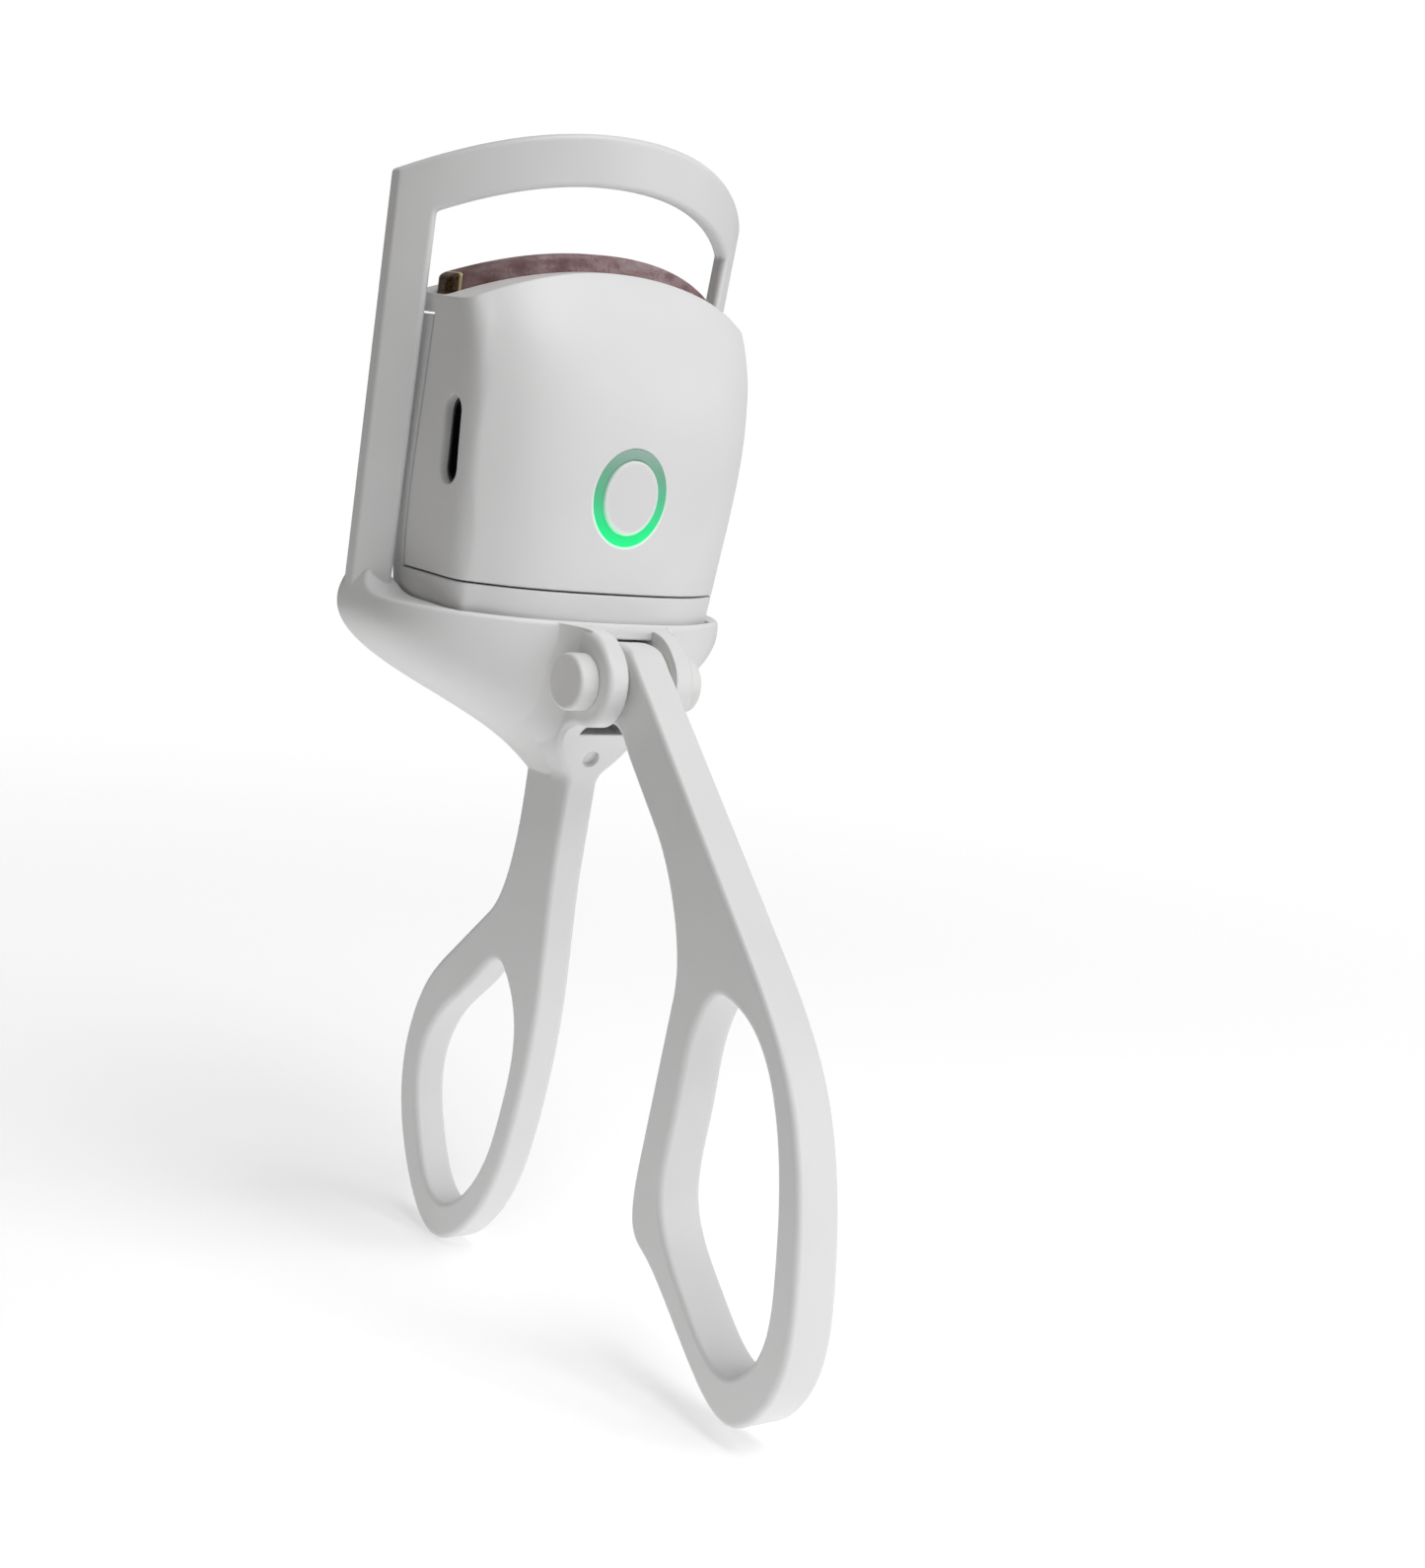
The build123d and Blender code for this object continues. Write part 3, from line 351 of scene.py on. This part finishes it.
def light_ring_material():
    """Light guide lit from below: bright green at the bottom, pale grey green at the top."""
    paint = Paint("light_guide", (0.1, 0.8, 0.4), 0.32)
    _, along = ring_measure(paint)
    height = paint.span(along, -1.0, 1.0)
    height.node.interpolation_type = "LINEAR"
    colour = paint.ramp(height, [
        (0.00, (0.002, 0.72, 0.20)), (0.22, (0.006, 0.62, 0.20)), (0.50, (0.07, 0.46, 0.24)),
        (0.78, (0.17, 0.40, 0.28)), (1.00, (0.30, 0.43, 0.38)),
    ])
    paint.link(colour, paint.shader.inputs["Base Color"])
    paint.link(colour, paint.shader.inputs["Emission Color"])
    paint.link(paint.span(along, -1.0, 0.6, 0.50, 0.10), paint.shader.inputs["Emission Strength"])
    paint.surface([(paint.noise(0.3 * MM, 2), 0.006 * MM)], 0.05 * MM)
    return paint.material


def silicone_material():
    """Heat sensitive silicone: mauve brown with cloudy mottling and fine lengthwise streaks, and painted
    shade on its left end.
    """
    paint = Paint("silicone", (0.25, 0.15, 0.16), 0.55, specular=0.35)
    cloud = paint.noise(1.6 * MM, 4, (0.6, 1, 1.4))
    speck = paint.noise(0.35 * MM, 3, (1, 1, 0.5))
    colour = paint.ramp(cloud, [
        (0.30, (0.150, 0.085, 0.085)), (0.47, (0.235, 0.145, 0.150)), (0.58, (0.310, 0.215, 0.225)),
        (0.72, (0.360, 0.270, 0.285)),
    ])
    dark = paint.span(speck, 0.52, 0.70, 0.0, 0.45)
    # Painted shade: towards the pad's left end (x below -9 mm) its colour is mixed towards a dark brown.
    left_end_painted_shade = paint.span(paint.axis("X"), -16.5 * MM, -9 * MM, 0.55, 0.0)
    colour = paint.mix(dark, colour, (0.13, 0.07, 0.075))
    colour = paint.mix(left_end_painted_shade, colour, (0.10, 0.050, 0.042))
    paint.link(colour, paint.shader.inputs["Base Color"])
    paint.link(paint.span(cloud, 0.3, 0.7, 0.62, 0.46), paint.shader.inputs["Roughness"])
    paint.surface([(speck, 0.03 * MM), (cloud, 0.05 * MM)], 0.15 * MM)
    return paint.material


def clip_material():
    """Dark bronze end clip with a painted highlight: a bright line on its edge where it meets the pad."""
    paint = Paint("clip_bronze", (0.05, 0.03, 0.018), 0.34, 0.75)
    # Painted highlight: a bright brass-coloured line from about 0.1 to 0.3 mm past the pad's end, where the
    # clip's edge catches the light.
    distance = paint.maths("ABSOLUTE", paint.axis("X"), 0.0)
    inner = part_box("silicone_pad")[1].x
    highlight_start = paint.span(distance, inner + 0.02 * MM, inner + 0.10 * MM)
    highlight_end = paint.span(distance, inner + 0.26 * MM, inner + 0.36 * MM, 1.0, 0.0)
    painted_highlight = paint.maths("MULTIPLY", highlight_start, highlight_end)
    tarnish = paint.noise(0.5 * MM, 4)
    base = paint.ramp(tarnish, [(0.35, (0.035, 0.020, 0.012)), (0.65, (0.16, 0.10, 0.05))])
    paint.link(paint.mix(painted_highlight, base, (0.72, 0.60, 0.36)), paint.shader.inputs["Base Color"])
    paint.surface([(tarnish, 0.02 * MM)], 0.2 * MM)
    return paint.material


def metal(name, colour, roughness, stretch):
    """Drawn or turned metal with fine lines along one direction."""
    paint = Paint(name, colour, roughness, 1.0)
    lines = paint.noise(0.12 * MM, 3, stretch)
    rough = paint.span(lines, 0.3, 0.7, roughness - 0.06, roughness + 0.08)
    paint.link(rough, paint.shader.inputs["Roughness"])
    darker = tuple(0.82 * c for c in colour)
    paint.link(paint.ramp(lines, [(0.3, darker), (0.7, colour)]), paint.shader.inputs["Base Color"])
    paint.surface([(lines, 0.004 * MM)], 0.05 * MM)
    return paint.material


def speckled(name, colour, other, roughness, size):
    """Plain moulded or coated inner piece with a two-tone grain."""
    paint = Paint(name, colour, roughness)
    grain = paint.noise(size, 4)
    paint.link(paint.ramp(grain, [(0.35, colour), (0.65, other)]), paint.shader.inputs["Base Color"])
    paint.surface([(grain, 0.01 * MM)], 0.05 * MM)
    return paint.material


# ---------------------------------------------------------------- pieces
CONTACTS = 12               # contact strips on each face of the tongue
CONTACT_MARGIN = 0.45 * MM  # tongue's edge to the first strip's middle
CONTACT_HALF = 0.13 * MM    # half width of a strip
CONTACT_SUNK = 0.02 * MM
CONTACT_PROUD = 0.03 * MM
CONTACT_MOUTH = 0.3 * MM    # tongue's tip to the strips
CONTACT_ROOT = 1.0 * MM     # and the strips to the tongue's root


def box_into(maker, low, high):
    """One closed block with slightly eased edges."""
    made = bmesh.ops.create_cube(maker, size=1)
    size = Vector(high) - Vector(low)
    middle = (Vector(high) + Vector(low)) / 2
    for vertex in made["verts"]:
        vertex.co = Vector(vertex.co[i] * size[i] + middle[i] for i in range(3))
    edges = {edge for vertex in made["verts"] for edge in vertex.link_edges}
    bmesh.ops.bevel(maker, geom=list(edges), offset=0.25 * min(size), segments=2, affect="EDGES")


def port_contacts():
    """Gold contact strips on both faces of the inlet's tongue."""
    low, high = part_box("usb_c_tongue")
    pitch = (high.z - low.z - 2 * CONTACT_MARGIN) / (CONTACTS - 1)
    maker = bmesh.new()
    for face, outward in ((low.y, -1), (high.y, 1)):
        near, far = sorted((face - outward * CONTACT_SUNK, face + outward * CONTACT_PROUD))
        for index in range(CONTACTS):
            z = low.z + CONTACT_MARGIN + index * pitch
            corner = (low.x + CONTACT_MOUTH, near, z - CONTACT_HALF)
            other = (high.x - CONTACT_ROOT, far, z + CONTACT_HALF)
            box_into(maker, corner, other)
    mesh = bpy.data.meshes.new("port_contacts")
    maker.to_mesh(mesh)
    maker.free()
    piece = bpy.data.objects.new("port_contacts", mesh)
    bpy.context.scene.collection.objects.link(piece)
    mesh.materials.append(metal("contact_gold", (0.83, 0.62, 0.25), 0.25, (1, 1, 8)))
    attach(piece, "sliding_head")


bpy.context.scene.view_settings.view_transform = "Standard"
add_camera()
add_world()
add_floor()
add_area_light("key", (0.85, -0.95, 0.35), 1.5)
add_area_light("top", (0.05, -0.55, 1.0), 3.7)

body_white = satin_plastic("body_satin", WHITE, 0.38, 0.4 * MM).material
handle_white = satin_plastic("handle_satin", (0.79, 0.79, 0.79), 0.40, 0.3 * MM).material
cap_white = satin_plastic("cap_satin", (0.78, 0.78, 0.77), 0.42, 0.15 * MM).material
cover_white = cover_material()
dress("frame", body_white)
dress("front_handle", handle_white)
dress("pivot_cap_left", cap_white)
dress("pivot_cap_right", cap_white)
dress("front_cover", cover_white)
dress("rear_shell", cover_white)
dress("light_ring", light_ring_material())
dress("button_cap", button_material())
dress("silicone_pad", silicone_material())
dress("pad_end_clips", clip_material())

turned_steel = metal("turned_steel", (0.60, 0.60, 0.60), 0.30, (6, 1, 1))
for name in ("pivot_pin", "drive_pin", "board_screws", "bracket_screws", "cover_screws"):
    dress(name, turned_steel)
dress("pivot_washers", speckled("nylon", (0.76, 0.75, 0.70), (0.70, 0.69, 0.64), 0.45, 0.4 * MM))
dress("usb_c_shell", metal("dark_nickel", (0.10, 0.10, 0.11), 0.38, (1, 6, 6)))
dress("usb_c_tongue", speckled("tongue_black", (0.012, 0.012, 0.014), (0.02, 0.02, 0.022), 0.5, 0.3 * MM))
dress("tact_switch", speckled("switch_black", (0.02, 0.02, 0.02), (0.035, 0.035, 0.035), 0.45, 0.3 * MM))
dress("thermistor", speckled("bead_black", (0.02, 0.02, 0.02), (0.04, 0.03, 0.03), 0.5, 0.3 * MM))
dress("heater_plate", metal("rolled_brass", (0.72, 0.52, 0.24), 0.32, (1, 5, 5)))
dress("heating_element", speckled("polyimide", (0.50, 0.22, 0.04), (0.40, 0.16, 0.03), 0.35, 0.5 * MM))
holder_black = speckled("glass_filled_black", (0.025, 0.025, 0.027), (0.045, 0.045, 0.048), 0.55, 0.25 * MM)
dress("heater_holder", holder_black)
dress("drive_bracket", holder_black)
dress("circuit_board", speckled("solder_mask", (0.015, 0.13, 0.05), (0.02, 0.17, 0.065), 0.3, 0.8 * MM))
dress("status_leds", speckled("led_epoxy", (0.80, 0.82, 0.62), (0.70, 0.74, 0.55), 0.2, 0.4 * MM))
dress("battery", speckled("foil_pouch", (0.28, 0.30, 0.33), (0.22, 0.24, 0.27), 0.35, 1.5 * MM))
red_lead = speckled("red_lead", (0.45, 0.02, 0.02), (0.38, 0.015, 0.015), 0.45, 0.4 * MM)
dress("heater_leads", red_lead)
dress("battery_leads", red_lead)
port_contacts()
